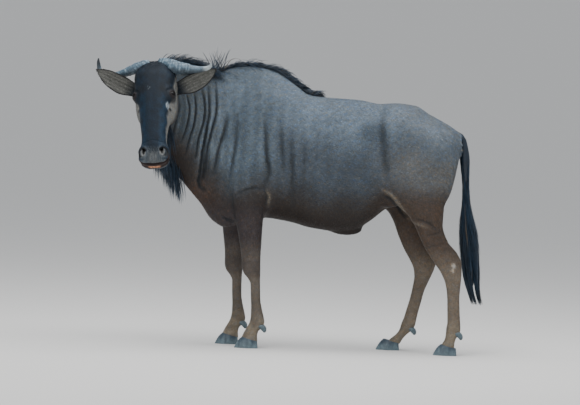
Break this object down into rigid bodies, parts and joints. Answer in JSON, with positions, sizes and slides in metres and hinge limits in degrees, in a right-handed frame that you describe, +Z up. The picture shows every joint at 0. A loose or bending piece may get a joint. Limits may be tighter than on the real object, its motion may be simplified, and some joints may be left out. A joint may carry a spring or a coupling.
{
  "type": "standing wildebeest figure",
  "caption": "Life-size still model of a bearded blue wildebeest bull standing side-on with its head turned, with curved horns, dark mane and long tail.",
  "frame": {"origin": "on the floor under the middle of the model's bounding box", "axes": "+X from the chest toward the tail, +Y from the animal's left side toward its right, +Z up; the head is turned toward -Y"},
  "size_m": [1.9098, 0.7123, 1.4625],
  "materials": {
    "coat": "short slate-grey fur over hide",
    "leg_coat": "short brown-grey fur over hide",
    "face_coat": "short black fur over hide",
    "hair": "long black hair",
    "ear_coat": "short grey-brown fur over thin skin",
    "horn_sheath": "rough weathered horn",
    "hoof_horn": "worn satin hoof horn",
    "eye_wet": "wet dark brown eye"
  },
  "bodies": {
    "root": {"ear_left": "ear_coat", "ear_right": "ear_coat", "eye_left": "eye_wet", "eye_right": "eye_wet", "foreleg_left_dewclaw_inner": "hoof_horn", "foreleg_left_dewclaw_outer": "hoof_horn", "foreleg_left_hoof_inner": "hoof_horn", "foreleg_left_hoof_outer": "hoof_horn", "foreleg_left_lower": "leg_coat", "foreleg_left_upper": "leg_coat", "foreleg_right_dewclaw_inner": "hoof_horn", "foreleg_right_dewclaw_outer": "hoof_horn", "foreleg_right_hoof_inner": "hoof_horn", "foreleg_right_hoof_outer": "hoof_horn", "foreleg_right_lower": "leg_coat", "foreleg_right_upper": "leg_coat", "head": "face_coat", "hindleg_left_dewclaw_inner": "hoof_horn", "hindleg_left_dewclaw_outer": "hoof_horn", "hindleg_left_hoof_inner": "hoof_horn", "hindleg_left_hoof_outer": "hoof_horn", "hindleg_left_lower": "leg_coat", "hindleg_left_upper": "leg_coat", "hindleg_right_dewclaw_inner": "hoof_horn", "hindleg_right_dewclaw_outer": "hoof_horn", "hindleg_right_hoof_inner": "hoof_horn", "hindleg_right_hoof_outer": "hoof_horn", "hindleg_right_lower": "leg_coat", "hindleg_right_upper": "leg_coat", "horn_left": "horn_sheath", "horn_right": "horn_sheath", "neck": "coat", "tail": "hair", "torso": "coat"}
  },
  "joints": []
}
